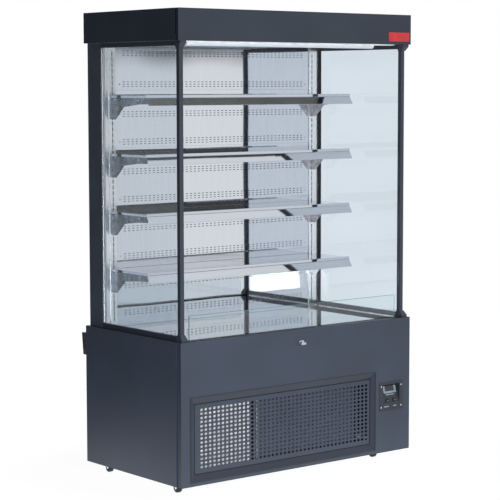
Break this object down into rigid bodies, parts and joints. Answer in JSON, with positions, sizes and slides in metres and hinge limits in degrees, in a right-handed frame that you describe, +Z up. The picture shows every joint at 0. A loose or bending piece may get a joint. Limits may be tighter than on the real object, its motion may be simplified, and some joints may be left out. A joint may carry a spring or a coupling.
{
  "type": "open multideck display fridge",
  "caption": "Open-fronted upright display fridge with a foamed back, glass sides, lift-off shelves, a lit canopy and a grilled base on castors.",
  "frame": {"origin": "on the floor under the middle of the whole outline, front hook and wall spacers included", "axes": "+Z up, +Y towards the wall behind it, +X to the right of someone facing its open front"},
  "size_m": [1.27, 0.74, 1.98],
  "materials": {
    "grey_paint": "satin",
    "foam_wall": "satin",
    "black_frame": "satin",
    "black_plastic": "satin",
    "polished_steel": "polished",
    "glass": "gloss",
    "galvanised": "satin",
    "white_plastic": "gloss",
    "opal": "satin",
    "switch_black": "gloss",
    "chrome": "polished",
    "fins": "satin",
    "compressor_black": "satin",
    "fan_plastic": "satin",
    "tread": "matte"
  },
  "bodies": {
    "cabinet": {"base_chassis": "galvanised", "base_side_left": "grey_paint", "base_side_right": "grey_paint", "base_front_panel": "grey_paint", "base_rear_panel": "grey_paint", "grille_frame": "grey_paint", "grille_panel": "grey_paint", "control_plate": "grey_paint", "controller": "switch_black", "switch_bodies": "switch_black", "panel_screws": "chrome", "front_hook": "chrome", "rear_spacers": "galvanised", "insulated_tub": "foam_wall", "sill_frame": "black_frame", "display_deck": "polished_steel", "front_glass": "glass", "rear_wall": "foam_wall", "back_panels": "polished_steel", "shelf_standards": "polished_steel", "side_glass_left": "glass", "side_glass_right": "glass", "glass_rails": "black_frame", "front_posts": "black_frame", "corner_blocks": "black_plastic", "canopy_fascia": "grey_paint", "canopy_shell": "grey_paint", "canopy_ceiling": "foam_wall", "air_outlet": "white_plastic", "lamp_body": "white_plastic", "lamp_diffuser": "opal", "castor_plates": "galvanised", "condenser_coil": "fins", "fan_shroud": "galvanised", "baffle_sheet": "galvanised", "compressor": "compressor_black", "drip_pan": "fan_plastic", "evaporator_coil": "fins", "evaporator_fan_plate": "galvanised"},
    "shelf_1": {"shelf_1_deck": "polished_steel", "shelf_1_brackets": "grey_paint"},
    "shelf_2": {"shelf_2_deck": "polished_steel", "shelf_2_brackets": "grey_paint"},
    "shelf_3": {"shelf_3_deck": "polished_steel", "shelf_3_brackets": "grey_paint"},
    "shelf_4": {"shelf_4_deck": "polished_steel", "shelf_4_brackets": "grey_paint"},
    "castor_front_left": {"castor_fork_front_left": "galvanised"},
    "wheel_front_left": {"castor_wheel_front_left": "tread"},
    "castor_front_right": {"castor_fork_front_right": "galvanised"},
    "wheel_front_right": {"castor_wheel_front_right": "tread"},
    "castor_rear_left": {"castor_fork_rear_left": "galvanised"},
    "wheel_rear_left": {"castor_wheel_rear_left": "tread"},
    "castor_rear_right": {"castor_fork_rear_right": "galvanised"},
    "wheel_rear_right": {"castor_wheel_rear_right": "tread"},
    "condenser_fan": {"condenser_fan": "fan_plastic"},
    "evaporator_fan_left": {"evaporator_fan_left": "fan_plastic"},
    "evaporator_fan_right": {"evaporator_fan_right": "fan_plastic"},
    "switch_power": {"switch_power": "switch_black"},
    "switch_lamp": {"switch_lamp": "switch_black"}
  },
  "joints": [
    {"name": "shelf_1_lift", "type": "slide", "parent": "cabinet", "child": "shelf_1", "axis": [0, 0, 1], "range_m": [0, 0.009]},
    {"name": "shelf_2_lift", "type": "slide", "parent": "cabinet", "child": "shelf_2", "axis": [0, 0, 1], "range_m": [0, 0.009]},
    {"name": "shelf_3_lift", "type": "slide", "parent": "cabinet", "child": "shelf_3", "axis": [0, 0, 1], "range_m": [0, 0.009]},
    {"name": "shelf_4_lift", "type": "slide", "parent": "cabinet", "child": "shelf_4", "axis": [0, 0, 1], "range_m": [0, 0.009]},
    {"name": "castor_front_left_swivel", "type": "hinge", "parent": "cabinet", "child": "castor_front_left", "pos_m": [-0.547, -0.226, 0.047], "axis": [0, 0, 1], "continuous": true},
    {"name": "wheel_front_left_roll", "type": "hinge", "parent": "castor_front_left", "child": "wheel_front_left", "pos_m": [-0.547, -0.21, 0.02], "axis": [1, 0, 0], "continuous": true},
    {"name": "castor_front_right_swivel", "type": "hinge", "parent": "cabinet", "child": "castor_front_right", "pos_m": [0.547, -0.226, 0.047], "axis": [0, 0, 1], "continuous": true},
    {"name": "wheel_front_right_roll", "type": "hinge", "parent": "castor_front_right", "child": "wheel_front_right", "pos_m": [0.547, -0.21, 0.02], "axis": [1, 0, 0], "continuous": true},
    {"name": "castor_rear_left_swivel", "type": "hinge", "parent": "cabinet", "child": "castor_rear_left", "pos_m": [-0.547, 0.273, 0.047], "axis": [0, 0, 1], "continuous": true},
    {"name": "wheel_rear_left_roll", "type": "hinge", "parent": "castor_rear_left", "child": "wheel_rear_left", "pos_m": [-0.547, 0.289, 0.02], "axis": [1, 0, 0], "continuous": true},
    {"name": "castor_rear_right_swivel", "type": "hinge", "parent": "cabinet", "child": "castor_rear_right", "pos_m": [0.547, 0.273, 0.047], "axis": [0, 0, 1], "continuous": true},
    {"name": "wheel_rear_right_roll", "type": "hinge", "parent": "castor_rear_right", "child": "wheel_rear_right", "pos_m": [0.547, 0.289, 0.02], "axis": [1, 0, 0], "continuous": true},
    {"name": "condenser_fan_spin", "type": "hinge", "parent": "cabinet", "child": "condenser_fan", "pos_m": [-0.39, -0.2267, 0.232], "axis": [0, 1, 0], "continuous": true},
    {"name": "evaporator_fan_left_spin", "type": "hinge", "parent": "cabinet", "child": "evaporator_fan_left", "pos_m": [-0.2, -0.197, 0.54575], "axis": [0, 1, 0], "continuous": true},
    {"name": "evaporator_fan_right_spin", "type": "hinge", "parent": "cabinet", "child": "evaporator_fan_right", "pos_m": [0.2, -0.197, 0.54575], "axis": [0, 1, 0], "continuous": true},
    {"name": "switch_power_rock", "type": "hinge", "parent": "cabinet", "child": "switch_power", "pos_m": [0.5012, -0.34823, 0.28158], "axis": [1, 0, 0], "range_deg": [-12, 0]},
    {"name": "switch_lamp_rock", "type": "hinge", "parent": "cabinet", "child": "switch_lamp", "pos_m": [0.5442, -0.34823, 0.28158], "axis": [1, 0, 0], "range_deg": [-12, 0]}
  ]
}
